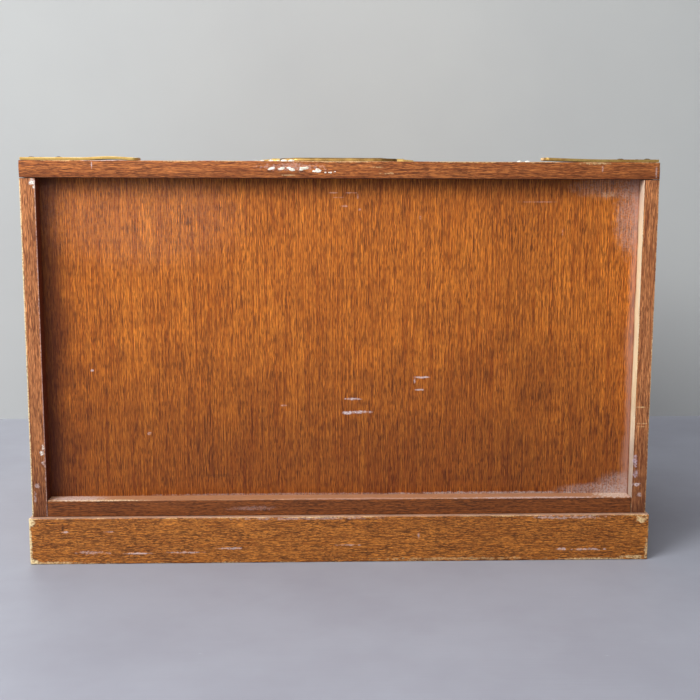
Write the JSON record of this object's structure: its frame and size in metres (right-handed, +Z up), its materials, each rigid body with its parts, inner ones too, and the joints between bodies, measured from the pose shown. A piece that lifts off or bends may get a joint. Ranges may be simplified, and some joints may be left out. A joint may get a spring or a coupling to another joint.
{
  "type": "type case",
  "caption": "Bench-top wooden type case: stacked compartmented drawers with brass finger pulls in a boarded case on a plinth, with corner plates and a folding lifting handle on top.",
  "frame": {"origin": "on the floor, at the middle of the overall width and depth, finger pulls included", "axes": "+Z up, +X to the right as seen from the drawers, -Y out of the front where the drawers open"},
  "size_m": [0.484, 0.317, 0.3158],
  "materials": {
    "case_wood": "worn varnish with bare pale edges",
    "panel_wood": "worn satin varnish, upright grain",
    "front_wood": "worn satin varnish",
    "pale_wood": "bare, aged and hand-soiled",
    "plywood": "bare plywood",
    "brass": "dulled and tarnished",
    "dark_screw": "darkened, slotted heads",
    "label_card": "aged matte card"
  },
  "bodies": {
    "case": {"top_board": "case_wood", "left_side": "case_wood", "right_side": "case_wood", "bottom_board": "case_wood", "back_panel": "panel_wood", "case_dowels": "pale_wood", "plinth_front": "case_wood", "plinth_rear": "case_wood", "plinth_left": "case_wood", "plinth_right": "case_wood", "plinth_glue_blocks": "pale_wood", "left_runners": "pale_wood", "right_runners": "pale_wood", "runner_screws": "dark_screw", "corner_plate_rear_right": "brass", "corner_plate_rear_left": "brass", "corner_plate_front_right": "brass", "corner_plate_front_left": "brass", "corner_plate_screws": "dark_screw", "handle_bracket_left": "brass", "handle_bracket_right": "brass", "handle_screws": "brass"},
    "handle": {"handle_bail": "brass"},
    "drawer_1": {"drawer_1_front": "front_wood", "drawer_1_box": "pale_wood", "drawer_1_floor": "plywood", "drawer_1_partitions": "pale_wood", "drawer_1_pull": "brass", "drawer_1_pull_screws": "brass"},
    "drawer_2": {"drawer_2_front": "front_wood", "drawer_2_box": "pale_wood", "drawer_2_floor": "plywood", "drawer_2_partitions": "pale_wood", "drawer_2_pull": "brass", "drawer_2_pull_screws": "brass"},
    "drawer_3": {"drawer_3_front": "front_wood", "drawer_3_box": "pale_wood", "drawer_3_floor": "plywood", "drawer_3_partitions": "pale_wood", "drawer_3_pull": "brass", "drawer_3_pull_screws": "brass"},
    "drawer_4": {"drawer_4_front": "front_wood", "drawer_4_box": "pale_wood", "drawer_4_floor": "plywood", "drawer_4_partitions": "pale_wood", "drawer_4_pull": "brass", "drawer_4_pull_screws": "brass"},
    "drawer_5": {"drawer_5_front": "front_wood", "drawer_5_box": "pale_wood", "drawer_5_floor": "plywood", "drawer_5_partitions": "pale_wood", "drawer_5_pull": "brass", "drawer_5_pull_screws": "brass"},
    "drawer_6": {"drawer_6_front": "front_wood", "drawer_6_box": "pale_wood", "drawer_6_floor": "plywood", "drawer_6_partitions": "pale_wood", "drawer_6_pull": "brass", "drawer_6_pull_screws": "brass"}
  },
  "joints": [
    {"name": "handle_hinge", "type": "hinge", "parent": "case", "child": "handle", "pos_m": [0, 0.0045, 0.313], "axis": [1, 0, 0], "range_deg": [0, 180]},
    {"name": "drawer_1_slide", "type": "slide", "parent": "case", "child": "drawer_1", "axis": [0, -1, 0], "range_m": [0, 0.22]},
    {"name": "drawer_2_slide", "type": "slide", "parent": "case", "child": "drawer_2", "axis": [0, -1, 0], "range_m": [0, 0.22]},
    {"name": "drawer_3_slide", "type": "slide", "parent": "case", "child": "drawer_3", "axis": [0, -1, 0], "range_m": [0, 0.22]},
    {"name": "drawer_4_slide", "type": "slide", "parent": "case", "child": "drawer_4", "axis": [0, -1, 0], "range_m": [0, 0.22]},
    {"name": "drawer_5_slide", "type": "slide", "parent": "case", "child": "drawer_5", "axis": [0, -1, 0], "range_m": [0, 0.22]},
    {"name": "drawer_6_slide", "type": "slide", "parent": "case", "child": "drawer_6", "axis": [0, -1, 0], "range_m": [0, 0.22]}
  ]
}
